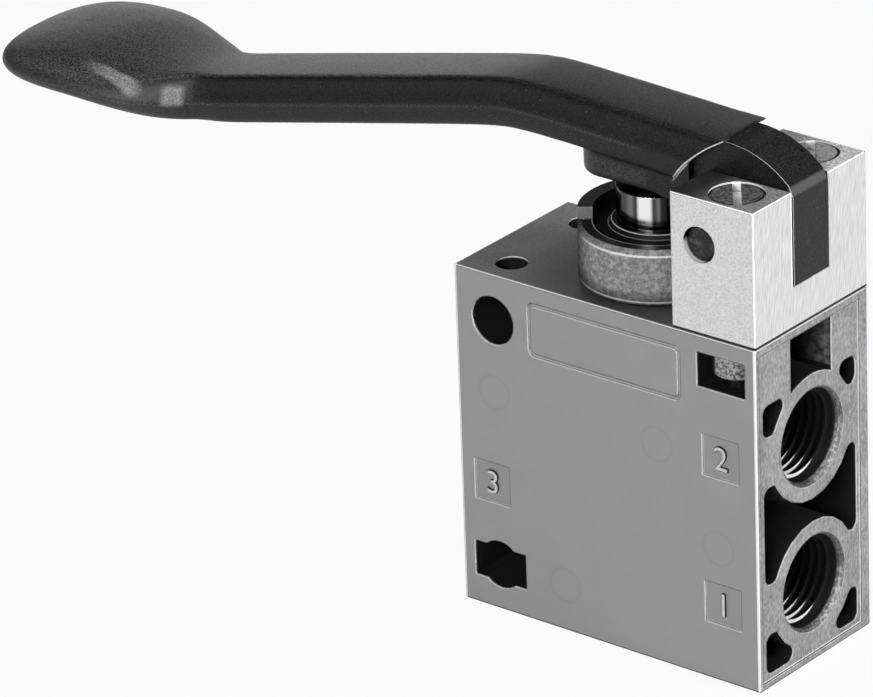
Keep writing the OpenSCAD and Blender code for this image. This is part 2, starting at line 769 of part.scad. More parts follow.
// The pivot pin: the lever screws run through a notch near each end and so lock it
module pivot_pin() {
    pin_l = body_w - 2 * pin_recess;
    chamfer = 0.4;
    color([0.2, 0.2, 0.2]) difference() {
        translate([pivot_x, pin_l / 2, pivot_z]) rotate([90, 0, 0]) {
            cylinder(h = chamfer, r1 = pin_r - chamfer, r2 = pin_r);
            translate([0, 0, chamfer]) cylinder(h = pin_l - 2 * chamfer, r = pin_r);
            translate([0, 0, pin_l - chamfer]) cylinder(h = chamfer, r1 = pin_r, r2 = pin_r - chamfer);
        }
        for (side = [-1, 1]) translate([screw_x, side * screw_y, pivot_z - pin_r - cut])
            cylinder(h = 2 * pin_r + 2 * cut, r = shank_hole_r);
    }
}

// The bush pressed into the lever's tongue
module pivot_bush() {
    color([0.7, 0.52, 0.28]) translate([pivot_x, tongue_w / 2, pivot_z]) rotate([90, 0, 0])
        ring(pin_r + running + bush_wall, pin_r + running, tongue_w);
}

// The lever's shape along its length. Each function takes d, the distance from the pivot
// towards the grip, and gives a height above the pivot or a half-width.
function smooth(a, b, d) = let (t = max(0, min(1, (d - a) / (b - a)))) t * t * (3 - 2 * t);
function mix(a, b, t) = a + (b - a) * t;
// A quarter of a rounded outline: 1 at its middle, 0 at its end
function round_off(part, power) = pow(max(0, 1 - pow(max(0, min(1, part)), power)), 1 / power);
// Where the pad is widest, and how far the section has turned from the boxy arm into the pad
pad_mid = pad_tip - pad_end_l;
function pad_share(d) = smooth(pad_mid - 1.25 * pad_waist_l, pad_mid, d);
function tip_part(d) = (d - pad_mid) / pad_end_l;
function waist_part(d) = (pad_mid - d) / pad_waist_l;
// Top of the arm: two straight stretches with a soft bend between them
function arm_top(d) = let (
    inner = arm_rise + inner_slope * d,
    outer = arm_rise + inner_slope * bend_at - outer_slope * (d - bend_at)
) (inner + outer) / 2 - sqrt(pow(inner - outer, 2) + bend_soft * bend_soft) / 2;
// Half-width: the pad's plan swells out of the arm's even width, with a soft corner between
function pad_plan(d) = d > pad_mid ? round_off(tip_part(d), 2.9) : round_off(waist_part(d), 1.7);
function pad_width(d) = pad_half * pad_plan(d);
function arm_width(d) = d > pad_mid ? 0 : arm_half;
function section_half(d) = pow(pow(pad_width(d), 8) + pow(arm_width(d), 8), 1 / 8);
function pad_fade(d) = round_off(tip_part(d), 2.2);
function parting(d) = mix(arm_top(d) - arm_up, -pad_drop, pad_share(d));
function section_up(d) = mix(arm_up, pad_up * pad_fade(d), pad_share(d));
function section_down(d) = mix(arm_t - arm_up, pad_down * pad_fade(d), pad_share(d));

// Quarter sections of the arm, as shares of its half-width and height: from the parting line
// up a hollow flank to the soft top edge and crown, and down a drafted flank to the flat sole
upper_flank = [
    [1, 0], [0.955, 0.19], [0.915, 0.43], [0.885, 0.69], [0.87, 0.86],
    [0.84, 0.925], [0.78, 0.955], [0.5, 0.98], [0.25, 0.995], [0, 1]
];
lower_flank = [
    [1, 0], [0.98, 0.25], [0.955, 0.5], [0.925, 0.75], [0.9, 0.9],
    [0.87, 0.97], [0.8, 1], [0.5, 1], [0.25, 1], [0, 1]
];
flank_steps = len(upper_flank) - 1;

// The same quarter of the pad's rounded section
function pad_flank(k) = let (a = 90 * k / flank_steps) [pow(cos(a), 0.92), pow(sin(a), 0.92)];

// One point of a section, counted around from the parting line on the +Y side
function section_point(d, j) = let (
    quarter = floor(j / flank_steps),
    along = j - quarter * flank_steps,
    k = quarter % 2 == 0 ? along : flank_steps - along,
    up = quarter < 2,
    side = quarter == 0 || quarter == 3 ? 1 : -1,
    arm = up ? upper_flank[k] : lower_flank[k],
    share = pad_share(d),
    across = mix(arm[0], pad_flank(k)[0], share),
    rise = mix(arm[1], pad_flank(k)[1], share)
) [pivot_x - d, side * section_half(d) * across,
    pivot_z + parting(d) + (up ? section_up(d) : -section_down(d)) * rise];

// Even steps from one distance to another, without the last
function steps(from, to, n) = [for (i = [0 : n - 1]) from + (to - from) * i / n];

// The arm and pad as one smooth skin of sections
module arm_skin() {
    sides = 4 * flank_steps;
    bend_zone = 11;
    waist_from = pad_mid - 1.3 * pad_waist_l;
    stations = concat(
        steps(0.6, bend_at - bend_zone, 3),
        steps(bend_at - bend_zone, bend_at + bend_zone, 9),
        steps(bend_at + bend_zone, waist_from, 4),
        steps(waist_from, pad_mid, 18),
        [for (i = [0 : 11]) pad_mid + (pad_end_l - 0.01) * sin(90 * i / 11)]
    );
    n = len(stations);
    points = [for (d = stations, j = [0 : sides - 1]) section_point(d, j)];
    faces = concat(
        [[for (j = [sides - 1 : -1 : 0]) j]],
        [for (i = [0 : n - 2], j = [0 : sides - 1])
            let (k = (j + 1) % sides)
            [i * sides + j, i * sides + k, (i + 1) * sides + k, (i + 1) * sides + j]],
        [[for (j = [0 : sides - 1]) (n - 1) * sides + j]]
    );
    polyhedron(points, faces, convexity = 6);
}

// The tongue's outline seen from the front, with the pivot at the origin
module tongue_outline() {
    end = pivot_inset;
    sole = slot_floor + 0.1 - pivot_h;
    heel_r = -sole - 1.5;
    heel_turn = acos(heel_r / -sole);
    nape_r = 14.75;
    nape = [-1.8, nape_rise - nape_r];
    root_l = 13;
    root_rise = arm_rise - arm_t + 0.5;
    // The edge between the nape and the end face is broken
    edge = 0.8;
    edge_turn = 25;
    corner = nape[1] + sqrt(nape_r * nape_r - (end - nape[0]) * (end - nape[0]));
    difference() {
        intersection() {
            union() {
                translate([0, sole]) square([end, 2 * arm_rise]);
                // Behind the pin the tongue is round, with a flat from the sole's edge
                circle(r = heel_r);
                polygon([[0, sole], [0, 0], [-heel_r * sin(heel_turn), -heel_r * cos(heel_turn)]]);
                translate([-heel_r, 0]) square([heel_r + 1, arm_rise]);
                // The root runs back into the arm
                translate([-root_l, root_rise]) square([root_l, nape_rise - root_rise - 0.5]);
            }
            union() {
                translate(nape) circle(r = nape_r, $fn = 96);
                translate([nape[0] - 2 * root_l, sole]) square([2 * root_l, nape_rise - sole]);
            }
        }
        translate([end, corner - edge]) rotate(edge_turn) square([end, 4 * edge]);
    }
}

// The foot under the arm that presses on the plunger
module presser_foot() {
    foot_to = 7.2;
    middle = foot_reach - foot_half;
    h = arm_rise / 2 + 1 - foot_rise;
    translate([-middle, 0, foot_rise]) {
        cylinder(h = h, r = foot_half);
        translate([0, -foot_half, 0]) cube([middle - foot_to, 2 * foot_half, h]);
    }
}

module lever() {
    relief_r = 22.75;
    relief = [9, -8.8];
    color([0.12, 0.12, 0.13]) difference() {
        union() {
            difference() {
                arm_skin();
                // The wide arm ends in a hollow round, so that it clears the ears
                translate([pivot_x + relief[0], 2 * arm_half, pivot_z + relief[1]])
                    rotate([90, 0, 0]) cylinder(h = 4 * arm_half, r = relief_r, $fn = 96);
            }
            translate([pivot_x, tongue_w / 2, pivot_z]) rotate([90, 0, 0])
                linear_extrude(tongue_w) tongue_outline();
            translate([pivot_x, 0, pivot_z]) presser_foot();
        }
        translate([pivot_x, tongue_w, pivot_z]) rotate([90, 0, 0])
            cylinder(h = 2 * tongue_w, r = pin_r + running + bush_wall + fit);
    }
}

valve_body();
guide_bonnet();
guide_bush();
wiper_seal();
plunger_o_ring();
bonnet_o_ring();
seal_carrier();
carrier_o_ring();
stem_o_ring();
seat_insert();
seat_o_ring();
bottom_plug();
plug_o_ring();
poppet();
poppet_seal();
poppet_spring();
plunger();
plunger_spring();
clevis_block();
clevis_screws();
clamp_nuts();
pivot_pin();
lever();
pivot_bush();
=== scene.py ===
"""Looks of a manual directional valve: cast housing, domed plunger, clevis and finger lever."""
import json
import math

import bpy
from mathutils import Matrix, Vector

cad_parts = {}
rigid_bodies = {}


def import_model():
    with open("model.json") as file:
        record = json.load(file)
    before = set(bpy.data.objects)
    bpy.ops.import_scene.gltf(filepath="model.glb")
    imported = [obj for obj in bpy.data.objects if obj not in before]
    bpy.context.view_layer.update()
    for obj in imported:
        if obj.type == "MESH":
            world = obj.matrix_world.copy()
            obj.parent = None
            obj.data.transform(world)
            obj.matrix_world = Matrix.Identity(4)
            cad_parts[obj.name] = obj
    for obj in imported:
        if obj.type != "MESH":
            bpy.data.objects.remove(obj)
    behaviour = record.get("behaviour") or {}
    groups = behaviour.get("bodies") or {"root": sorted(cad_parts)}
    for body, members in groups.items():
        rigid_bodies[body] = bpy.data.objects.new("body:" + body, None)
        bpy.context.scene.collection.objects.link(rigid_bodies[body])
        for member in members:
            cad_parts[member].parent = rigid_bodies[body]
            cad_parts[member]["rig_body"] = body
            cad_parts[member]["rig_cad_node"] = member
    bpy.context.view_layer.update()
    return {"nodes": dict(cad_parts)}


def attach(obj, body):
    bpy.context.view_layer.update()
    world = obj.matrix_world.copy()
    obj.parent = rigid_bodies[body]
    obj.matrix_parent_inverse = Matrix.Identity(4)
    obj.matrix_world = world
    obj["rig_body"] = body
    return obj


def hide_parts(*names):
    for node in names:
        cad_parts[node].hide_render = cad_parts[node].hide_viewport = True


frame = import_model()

nodes = frame["nodes"]
scene = bpy.context.scene
scene.view_settings.view_transform = "Standard"

# The camera stands in front of the valve's right-hand edge and a little above it. Its place and
# turn were solved from the corners of the housing in the photograph, 50 x 25 x 50 mm.
photo_width = 873
focal_in_pixels = 7188
film_width = 36.0
camera_turn = math.radians(39.505)
camera_rise = math.radians(24.793)
camera_roll = math.radians(-2.149)
camera_at = Vector((0.530537, -0.690505, 0.442424))
camera_data = bpy.data.cameras.new("photo_camera")
camera = bpy.data.objects.new("photo_camera", camera_data)
scene.collection.objects.link(camera)
scene.camera = camera
camera_data.sensor_width = film_width
camera_data.lens = film_width * focal_in_pixels / photo_width
camera_data.clip_end = 20
back = Vector((
    math.sin(camera_turn) * math.cos(camera_rise),
    -math.cos(camera_turn) * math.cos(camera_rise),
    math.sin(camera_rise),
))
level_right = (-back).cross(Vector((0, 0, 1))).normalized()
level_up = level_right.cross(-back)
right = level_right * math.cos(camera_roll) + level_up * math.sin(camera_roll)
up = level_up * math.cos(camera_roll) - level_right * math.sin(camera_roll)
turned = Matrix((right, up, back)).transposed().to_4x4()
camera.matrix_world = Matrix.Translation(camera_at) @ turned


# The floor is white paper under the valve, which glows a little for the camera and in polished
# metal, and keeps the valve's soft shadow. The room is white behind, and sheds a dim even light.
class Wire:
    """A value or vector in a material. Sums on it add Math nodes, and node() adds any other."""

    def __init__(self, tree, socket=None):
        self.tree = tree
        self.socket = socket

    def node(self, kind, settings=None, sockets=None, out=0):
        made = self.tree.nodes.new("ShaderNode" + kind)
        for name, value in (settings or {}).items():
            setattr(made, name, value)
        for name, value in (sockets or {}).items():
            if isinstance(value, Wire):
                self.tree.links.new(value.socket, made.inputs[name])
            else:
                made.inputs[name].default_value = value
        return Wire(self.tree, made.outputs[out])

    def into(self, node, socket):
        self.tree.links.new(self.socket, node.inputs[socket])

    def sum(self, operation, first, second):
        return self.node("Math", {"operation": operation}, {0: first, 1: second})

    def __add__(self, other):
        return self.sum("ADD", self, other)

    def __radd__(self, other):
        return self.sum("ADD", other, self)

    def __sub__(self, other):
        return self.sum("SUBTRACT", self, other)

    def __rsub__(self, other):
        return self.sum("SUBTRACT", other, self)

    def __mul__(self, other):
        return self.sum("MULTIPLY", self, other)

    def __rmul__(self, other):
        return self.sum("MULTIPLY", other, self)

    def __truediv__(self, other):
        return self.sum("DIVIDE", self, other)

    def __pow__(self, other):
        return self.sum("POWER", self, other)

    def __gt__(self, other):
        return self.sum("GREATER_THAN", self, other)

    def __lt__(self, other):
        return self.sum("LESS_THAN", self, other)

    def __abs__(self):
        return self.node("Math", {"operation": "ABSOLUTE"}, {0: self})

    def ramp(self, low, high, low_value=0.0, high_value=1.0):
        """The value stretched so that low..high becomes low_value..high_value, with soft ends."""
        return self.node(
            "MapRange",
            {"interpolation_type": "SMOOTHSTEP"},
            {
                "Value": self,
                "From Min": low,
                "From Max": high,
                "To Min": low_value,
                "To Max": high_value,
            },
        )

    def fall(self, low, high):
        """A mask that is 1 up to low and 0 from high, with soft ends."""
        return self.ramp(low, high, 1.0, 0.0)

    def near(self, value, width):
        """A line mask: 1 where the value is close to the given one, 0 from width away."""
        return abs(self - value).fall(width * 0.4, width)

    def noise(self, size, detail=2.0, stretch=(1, 1, 1)):
        """Noise whose spots are about size metres across, drawn out along an axis by stretch."""
        squeezed = self.node(
            "VectorMath", {"operation": "DIVIDE"}, {0: self, 1: tuple(size * s for s in stretch)}
        )
        return self.node("TexNoise", {}, {"Vector": squeezed, "Scale": 1.0, "Detail": detail})


def begin_finish(name, **constants):
    """A new material: its shader, with the values that are the same all over, and a place wire."""
    material = bpy.data.materials.new(name)
    material.use_nodes = True
    shader = material.node_tree.nodes["Principled BSDF"]
    for socket, value in constants.items():
        shader.inputs[socket.replace("_", " ")].default_value = value
    place = Wire(material.node_tree).node("TexCoord", out="Object")
    return material, shader, place


floor_size = 4.0
paper_glow = 0.93
bpy.ops.object.select_all(action="DESELECT")
bpy.ops.mesh.primitive_plane_add(size=floor_size, location=(0, 0, -0.0001))
floor = bpy.context.object
floor.name = "floor"
paper, paper_shader, place = begin_finish("studio_paper", Specular_IOR_Level=0.2)
fibres = place.noise(0.002, 3.0)
(0.90 + fibres * 0.04).into(paper_shader, "Base Color")
(0.85 + fibres * 0.1).into(paper_shader, "Roughness")
seen = 0.0
for ray in ("Is Camera Ray", "Is Glossy Ray", "Is Transmission Ray"):
    seen = seen + place.node("LightPath", out=ray)
glowing = place.node("Emission", {}, {"Strength": 1.0})
matt = Wire(paper.node_tree, paper_shader.outputs["BSDF"])
paper_end = paper.node_tree.nodes["Material Output"]
place.node("MixShader", {}, {0: seen * paper_glow, 1: matt, 2: glowing}).into(paper_end, "Surface")
floor.data.materials.append(paper)

wall_glow = 0.10
ceiling_glow = 0.03
world = bpy.data.worlds.new("studio_room")
scene.world = world
world.use_nodes = True
room = Wire(world.node_tree)
room_light = world.node_tree.nodes["Background"]
height = room.node("SeparateXYZ", {}, {0: room.node("TexCoord", out="Generated")}, out="Z")
room_light.inputs["Color"].default_value = (1, 1, 1, 1)
glow = height.ramp(0.1, 0.8, wall_glow, ceiling_glow)
seen = room.node("LightPath", out="Is Camera Ray")
room.node("Mix", {"data_type": "FLOAT"}, {0: seen, 2: glow, 3: 1.0}).into(room_light, "Strength")


def add_soft_lamp(name, place, aim, width, height, watts):
    """A rectangular lamp that looks at a point."""
    lamp_data = bpy.data.lights.new(name, "AREA")
    lamp_data.shape = "RECTANGLE"
    lamp_data.size = width
    lamp_data.size_y = height
    lamp_data.energy = watts
    lamp = bpy.data.objects.new(name, lamp_data)
    scene.collection.objects.link(lamp)
    lamp.location = place
    lamp.rotation_euler = (Vector(aim) - Vector(place)).to_track_quat("-Z", "Y").to_euler()
    lamp.visible_camera = False


add_soft_lamp("key_lamp", (0.3, -0.95, 0.5), (0, 0, 0.03), 0.5, 0.4, 9.0)
add_soft_lamp("side_lamp", (0.95, 0.2, 0.55), (0, 0, 0.03), 0.35, 0.45, 7.0)
add_soft_lamp("back_lamp", (-0.85, 0.85, 0.24), (-0.05, 0, 0.06), 0.6, 0.22, 1.2)

# The housing is a die-cast aluminium block with milled faces. Its outside is blasted to an even
# satin grey, the port face shows the cutter's speckle, and the top, pockets and bores get painted
# shade.
half_length = 0.025
half_width = 0.0125
housing_height = 0.05
edge_radius = 0.0002
edge_reach = 0.0004
highlight_line_width = 0.00014
shade_line_width = 0.0003
# Each port's side of the housing, 1 for +X and -1 for -X, and the height of its axis
ports = {"port_1": (1, 0.0114), "port_2": (1, 0.0329), "port_3": (-1, 0.0189)}
port_face_depth = 0.0002
port_mouth = 0.0071
mouth_depth = 0.0010
rim_at_back = 0.0019
rim_at_foot = 0.0011
field_depth = 0.00035
top_hole_across = -0.0186
top_hole_aside = 0.008
top_hole_radius = 0.00225
collar_radius = 0.0107
collar_shade_end = 0.021


def mesh_normal(place):
    """The surface normal as the mesh has it."""
    return place.node("NewGeometry", out="Normal")


def rounded_normal(place, radius):
    """The surface normal, turned along the edges as if they were rounded."""
    return place.node("Bevel", {"samples": 4}, {"Radius": radius})


def dot(first, second):
    """The dot product of a vector with another, or with a fixed direction."""
    return first.node("VectorMath", {"operation": "DOT_PRODUCT"}, {0: first, 1: second}, out="Value")


def edge_mask(place, rounded):
    """A mask of the edges: it is 1 where the rounded normal has left the mesh's own."""
    return (1 - dot(rounded, mesh_normal(place))).ramp(0.02, 0.2)


def bumped(place, height, depth, normal):
    """A normal with relief: height runs from 0 to 1 and stands depth metres high."""
    sockets = {"Height": height, "Distance": depth, "Strength": 1.0, "Normal": normal}
    return place.node("Bump", {}, sockets)


def dress(name, material):
    """Gives a CAD node its finish."""
    for slot in nodes[name].material_slots:
        slot.material = material


def split(place):
    """The three coordinates of a place."""
    return [place.node("SeparateXYZ", {}, {0: place}, out=axis) for axis in ("X", "Y", "Z")]


def facing(place):
    """The three parts of the direction that a face looks in."""
    return split(place.node("TexCoord", out="Normal"))


def from_axis(first, second):
    """The distance from an axis, given the two offsets from it."""
    return (first ** 2 + second ** 2) ** 0.5


def corner_line(first, second, width):
    """A line mask along the middle of a broken edge, given the distances from its two faces."""
    return (first + second < edge_reach) * first.near(second, width)


housing, housing_shader, place = begin_finish("cast_housing", Metallic=0.12, Specular_IOR_Level=0.35)
across, deep, tall = split(place)
face_x, face_y, face_z = facing(place)
rounded = rounded_normal(place, edge_radius)
grain = place.noise(0.00016, 2.0)
speckle = place.noise(0.00038, 3.0, (1, 1, 1.8))
cloud = place.noise(0.005, 3.0)
to_end = half_length - abs(across)
to_side = half_width - abs(deep)
to_front = half_width + deep
to_back = half_width - deep
to_top = housing_height - tall
# The pockets and bores are painted dark as shade from just behind the faces, and the bores' mouths are
# turned
bores = 0.0
cone_highlight = 0.0
for side, port_height in ports.values():
    reach = from_axis(deep, tall - port_height)
    own = (reach < port_mouth) * (across * side > 0)
    bores = bores + own
    # Countersinks get a painted highlight low down and away from the front face
    cone_highlight = cone_highlight + own * ((deep * 0.7 - (tall - port_height) * 0.7) / reach).ramp(0.55, 0.95)
behind_end = to_end.ramp(0.00026, 0.00042) * (1 - bores)
behind_end = behind_end + to_end.ramp(mouth_depth, mouth_depth + 0.0004) * bores
inside = behind_end * to_side.ramp(0.00034, 0.00042) * to_top.ramp(0.00022, 0.0003)
on_top = face_z.ramp(0.6, 0.9)
on_end = abs(face_x).ramp(0.6, 0.9)
front_tone = 0.285 + (cloud - 0.5) * 0.03 + (grain - 0.5) * 0.07
# The top is painted darker as shade, and a painted shadow of the collar darkens it around the collar
collar_shadow = from_axis(across, deep).ramp(collar_radius, collar_shade_end, 0.36, 1.0)
top_shaded_tone = (0.22 + (cloud - 0.5) * 0.12 + (speckle - 0.5) * 0.3) * collar_shadow
end_tone = 0.32 + (cloud - 0.5) * 0.3 + (speckle - 0.5) * 0.55 + (grain - 0.5) * 0.2
tone = front_tone + (top_shaded_tone - front_tone) * on_top + (end_tone - front_tone) * on_end
# The countersinks are painted dark as shade, with their painted highlight
cone_tone = 0.07 + speckle.ramp(0.4, 0.65) * (0.1 + cone_highlight * 0.2) + cone_highlight * 0.1
tone = tone + (cone_tone - tone) * bores * to_end.ramp(0.00021, 0.00026)
# Ejector pins leave faint rings on the front face
ejector_places = ((-0.01875, 0.0326), (0.0085, 0.0323), (0.0184, 0.0197), (-0.0075, 0.0069))
ejector_radius = 0.00247
rings = 0.0
for ring_x, ring_z in ejector_places:
    rings = rings + from_axis(across - ring_x, tall - ring_z).near(ejector_radius, 0.0003)
rings = rings * (to_front < 0.0002)
tone = tone - rings * 0.016
# Broken edges get a painted highlight along their middle; those at the back and the bottom get painted
# shade
edge_shade = corner_line(to_top, to_back, shade_line_width) + corner_line(to_end, to_back, shade_line_width)
edge_shade = edge_shade + corner_line(to_end, to_front, shade_line_width) * (across < 0)
edge_highlight = corner_line(to_top, to_front, highlight_line_width) + corner_line(to_top, to_end, highlight_line_width)
edge_highlight = edge_highlight + corner_line(to_end, to_front, highlight_line_width) * (across > 0)
tone = (tone + edge_highlight * 0.65) * (1 - edge_shade * 0.9) * tall.ramp(0.00026, 0.0004, 0.03, 1.0)
# Walls of the sunk fields and slots, just behind the front face: painted light below, painted shade
# above and aside
shallow = to_side.ramp(0.00002, 0.00004) * to_side.fall(field_depth - 0.00001, field_depth + 0.00001)
shallow = shallow * (abs(face_y) < 0.4) * (deep < 0)
shallow = shallow * (to_end > edge_reach) * (to_top > edge_reach) * (tall > edge_reach)
faces_lamps = (face_z > 0.5) + (face_x > 0.3) > 0.5
lit_wall = shallow * faces_lamps * to_side.fall(0.00018, 0.00026)
tone = tone * (1 - shallow * 0.9) + lit_wall * 0.85
# Edges inside the outline get painted light where they turn towards the lamps and painted shade where
# they turn away
lamp_side = (0.5, -0.6, 0.75)
tilt = place.node("VectorMath", {"operation": "SUBTRACT"}, {0: rounded, 1: mesh_normal(place)})
turned_up = dot(tilt, lamp_side) * (1 - on_top)
turned_up = turned_up * (to_top > edge_reach) * (to_side + to_end > edge_reach) * (tall > edge_reach)
tone = tone * (1 + turned_up.ramp(-0.15, 0.15, -0.9, 0.9)) + turned_up.ramp(0.03, 0.25) * 0.45
# Pocket walls that face the front get a painted highlight at their mouth, and the port face's step gets
# a painted shade line
wall_highlight = to_end.near(0.0003, 0.00016) * (face_y * -1).ramp(0.3, 0.6) * (1 - bores)
step_shade = to_end.near(0.0001, 0.0003) * (abs(face_x) < 0.4)
step_shade = step_shade * (to_back > edge_reach) * (to_top > edge_reach)
tone = tone * (1 - step_shade * 0.85) + wall_highlight * 0.6
# A painted highlight runs along the foot of the rim around the sunk port face
sunk_face = on_end * to_end.near(port_face_depth, 0.00012)
beside_step = to_back.near(rim_at_back + 0.00014, 0.00012) + tall.near(rim_at_foot + 0.00014, 0.00012)
beside_step = beside_step * (to_back > rim_at_back) * (tall > rim_at_foot)
tone = tone + beside_step * sunk_face * 0.5
# A painted highlight runs around the inner rim of the hole in the top
hole_reach = from_axis(across - top_hole_across, abs(deep) - top_hole_aside)
rim_highlight = to_top.near(0.00012, 0.0001) * hole_reach.near(top_hole_radius, 0.0002)
tone = tone * (1 - rim_highlight) + rim_highlight * 0.8
# The wall of the drafted pocket above the upper port catches the light near its mouth
pocket_foot = 0.0415
pocket_from = 0.0034
pocket_to = 0.0049
pocket_lit = 0.0065
pocket_wall = (tall > pocket_foot) * (deep > pocket_from) * (deep < pocket_to) * (across > 0)
pocket_wall = pocket_wall * to_end.fall(0.0003, pocket_lit)
pocket_skin = place.noise(0.0011, 3.0).ramp(0.35, 0.75)
inner_tone = 0.005 + pocket_wall * (0.02 + pocket_skin * 0.16)
(tone * (1 - inside) + inner_tone * inside).into(housing_shader, "Base Color")
(0.52 + (speckle - 0.5) * 0.2 + inside * 0.3).into(housing_shader, "Roughness")
relief = grain * 0.4 + speckle * on_end - rings
bumped(place, relief, 0.000016, rounded).into(housing_shader, "Normal")
dress("valve_body", housing)

# Each port has a G 1/4 thread, 19 turns to the inch, cut into the bore after its mouth is
# countersunk. The ridges stand out of the bore to the thread's minor diameter.
thread_major = 0.00658
thread_minor = 0.00582
thread_pitch = 0.001337
thread_turns = 7
thread_start = half_length - port_face_depth - mouth_depth - thread_pitch * (thread_turns + 1)

thread_metal, thread_shader, place = begin_finish("cut_thread", Specular_IOR_Level=0.08)
across, deep, tall = split(place)
scratches = place.noise(0.0003, 2.0)
# The thread is painted nearly black as shade in the bore, and its crests get a painted highlight low
# down in the bore
crest_highlight = 0.0
for side, port_height in ports.values():
    reach = from_axis(deep, tall - port_height)
    lean = ((port_height - tall) * 0.72 - deep * 0.69) / reach
    crest = reach.ramp(thread_minor, thread_minor + 0.0005)
    own = (reach < port_mouth) * (across * side > 0)
    crest_highlight = crest_highlight + own * ((lean - 0.22) * 1.4 - crest).ramp(0.0, 0.25) + own * (1 - crest) * 0.008
(0.004 + crest_highlight * (0.8 + scratches * 0.4)).into(thread_shader, "Base Color")
(0.55 + (scratches - 0.5) * 0.2).into(thread_shader, "Roughness")
bumped(place, scratches, 0.00001, mesh_normal(place)).into(thread_shader, "Normal")

# In section a ridge is a triangle with its base in the wall of the bore
ridge_height = thread_major + 0.00004 - thread_minor
ridge_width = 0.86 * thread_pitch
corner_radius = ridge_height / 1.5
for name, (side, port_height) in ports.items():
    bpy.ops.object.select_all(action="DESELECT")
    bpy.ops.mesh.primitive_circle_add(vertices=3, radius=corner_radius, fill_type="NGON")
    thread = bpy.context.object
    thread.name = name + "_thread"
    bpy.ops.object.mode_set(mode="EDIT")
    bpy.ops.mesh.select_all(action="SELECT")
    # The triangle's point is turned towards the bore's axis, which is X
    bpy.ops.transform.resize(value=(ridge_width / (corner_radius * 3 ** 0.5), -1, 1))
    bpy.ops.transform.rotate(value=math.radians(-90), orient_axis="X", center_override=(0, 0, 0))
    bpy.ops.object.mode_set(mode="OBJECT")
    point = min(v.co.z for v in thread.data.vertices)
    for vertex in thread.data.vertices:
        vertex.co.z += thread_minor - point
    screw = thread.modifiers.new("turns", "SCREW")
    screw.axis = "X"
    screw.angle = math.tau
    screw.screw_offset = thread_pitch
    screw.iterations = thread_turns
    screw.steps = 64
    screw.render_steps = 64
    screw.use_merge_vertices = False
    bpy.ops.object.modifier_apply(modifier="turns")
    low_x = min(v.co.x for v in thread.data.vertices)
    for vertex in thread.data.vertices:
        vertex.co.x = side * (vertex.co.x - low_x + thread_start)
        vertex.co.y = side * vertex.co.y
        vertex.co.z += port_height
    bpy.ops.object.mode_set(mode="EDIT")
    bpy.ops.mesh.select_all(action="SELECT")
    bpy.ops.mesh.normals_make_consistent(inside=False)
    bpy.ops.object.mode_set(mode="OBJECT")
    thread.data.materials.append(thread_metal)
    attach(thread, "housing")

# Port numbers stand in small sunk squares of the front face: the die leaves them raised, with
# rounded strokes, level with the face around the square.
number_height = 0.0034
number_share = 0.7
number_stand = 0.00022
stroke_inset = 0.00005
stroke_round = 0.0001
number_across = {"1": 0.019, "2": 0.019, "3": -0.0196}
number_face, number_shader, place = begin_finish("rubbed_number", Metallic=0.1, Specular_IOR_Level=0.3)
flat_top = abs(facing(place)[1]).ramp(0.94, 0.99)
wear = place.noise(0.0003, 3.0)
(0.03 + flat_top * (0.55 + (wear - 0.5) * 0.4)).into(number_shader, "Base Color")
(0.45 + wear * 0.2).into(number_shader, "Roughness")
bumped(place, wear, 0.000008, mesh_normal(place)).into(number_shader, "Normal")
for number, number_x in number_across.items():
    bpy.ops.object.select_all(action="DESELECT")
    bpy.ops.object.text_add(location=(0, 0, 0))
    digit = bpy.context.object
    digit.name = "port_number_" + number
    digit.data.body = number
    digit.data.size = number_height / number_share
    digit.data.extrude = number_stand / 2
    digit.data.offset = -stroke_inset
    digit.data.bevel_depth = stroke_round
    digit.data.bevel_resolution = 2
    digit.data.align_x = "CENTER"
    digit.data.align_y = "CENTER"
    bpy.ops.object.convert(target="MESH")
    bpy.ops.object.mode_set(mode="EDIT")
    bpy.ops.mesh.select_all(action="SELECT")
    bpy.ops.mesh.remove_doubles(threshold=0.000005)
    bpy.ops.mesh.normals_make_consistent(inside=False)
    bpy.ops.object.mode_set(mode="OBJECT")
    digit.data.transform(Matrix.Rotation(math.radians(90), 4, "X"))
    across_all = [v.co.x for v in digit.data.vertices]
    tall_all = [v.co.z for v in digit.data.vertices]
    seat = Vector((
        number_x - (max(across_all) + min(across_all)) / 2,
        -half_width + field_depth - number_stand / 2,
        ports["port_" + number][1] - (max(tall_all) + min(tall_all)) / 2,
    ))
    digit.data.transform(Matrix.Translation(seat))
    digit.data.materials.append(number_face)
    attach(digit, "housing")

# The bonnet is a turned casting that screws into the top of the housing. Its collar keeps a
# mottled cast skin, with painted light and shade; the chamfer and the edges of the two key lugs get
# painted highlights.
well_radius = 0.0086
foot_height = 0.05045
chamfer_foot = 0.0573
collar_top = 0.0581
bonnet, bonnet_shader, place = begin_finish("cast_bonnet", Metallic=0.2, Specular_IOR_Level=0.15)
across, deep, tall = split(place)
face_x, face_y, face_z = facing(place)
rounded = rounded_normal(place, 0.00012)
edge = edge_mask(place, rounded)
reach = from_axis(across, deep)
patches = place.noise(0.0007, 4.0)
pits = place.noise(0.0002, 3.0)
upward = face_z.ramp(0.8, 0.95)
on_lug = tall.ramp(collar_top + 0.00005, collar_top + 0.00015)
# Painted light: brightest where it looks towards the front and right, with painted shade to the left
# and low down
lit = (across * 0.35 - deep * 0.94) / reach
skin = 0.09 + patches.ramp(0.35, 0.75) * 0.15 + pits.ramp(0.25, 0.85) * 0.13
skin = skin * lit.ramp(0.3, 0.85, 0.25, 1.3) * tall.ramp(foot_height + 0.0003, 0.053, 0.4, 1.0)
